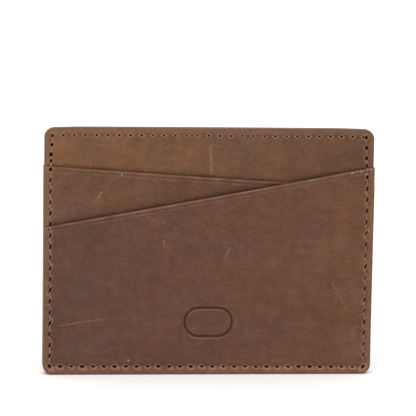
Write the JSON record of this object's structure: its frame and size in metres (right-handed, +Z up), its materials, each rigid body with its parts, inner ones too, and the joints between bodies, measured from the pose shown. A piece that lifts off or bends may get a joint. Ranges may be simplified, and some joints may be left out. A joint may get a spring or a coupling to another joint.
{
  "type": "slim leather card wallet",
  "caption": "Slim stitched leather card sleeve with slanted card pockets on both faces and a centre pocket that opens at the top.",
  "frame": {"origin": "middle of the bottom edge, halfway through the thickness", "axes": "+X across the width, +Y from the front face to the back face, +Z up towards the centre pocket's mouth"},
  "size_m": [0.1, 0.0062, 0.075],
  "materials": {
    "body_leather": "waxed pull-up leather, olive brown, satin, lightly scuffed",
    "pocket_leather": "waxed pull-up leather, reddish brown, satin, lightly scuffed",
    "lining": "fine plain weave, dark brown",
    "thread": "waxed polyester thread, grey beige",
    "tape": "thin double-sided tissue tape, matte",
    "edge_paint": "purple brown edge paint, satin"
  },
  "bodies": {
    "root": {"front_body_panel": "body_leather", "front_lining": "lining", "front_upper_pocket": "pocket_leather", "front_lower_pocket": "pocket_leather", "front_upper_pocket_tape": "tape", "front_lower_pocket_tape": "tape", "front_top_needle_thread": "thread", "front_top_bobbin_thread": "thread", "front_card_stop_needle_thread": "thread", "front_card_stop_bobbin_thread": "thread", "front_top_edge_coat": "edge_paint", "back_body_panel": "body_leather", "back_lining": "lining", "back_upper_pocket": "pocket_leather", "back_lower_pocket": "pocket_leather", "back_upper_pocket_tape": "tape", "back_lower_pocket_tape": "tape", "back_top_needle_thread": "thread", "back_top_bobbin_thread": "thread", "back_card_stop_needle_thread": "thread", "back_card_stop_bobbin_thread": "thread", "back_top_edge_coat": "edge_paint", "centre_tape": "tape", "seam_needle_thread": "thread", "seam_bobbin_thread": "thread", "left_edge_coat": "edge_paint", "right_edge_coat": "edge_paint", "bottom_edge_coat": "edge_paint"}
  },
  "joints": []
}
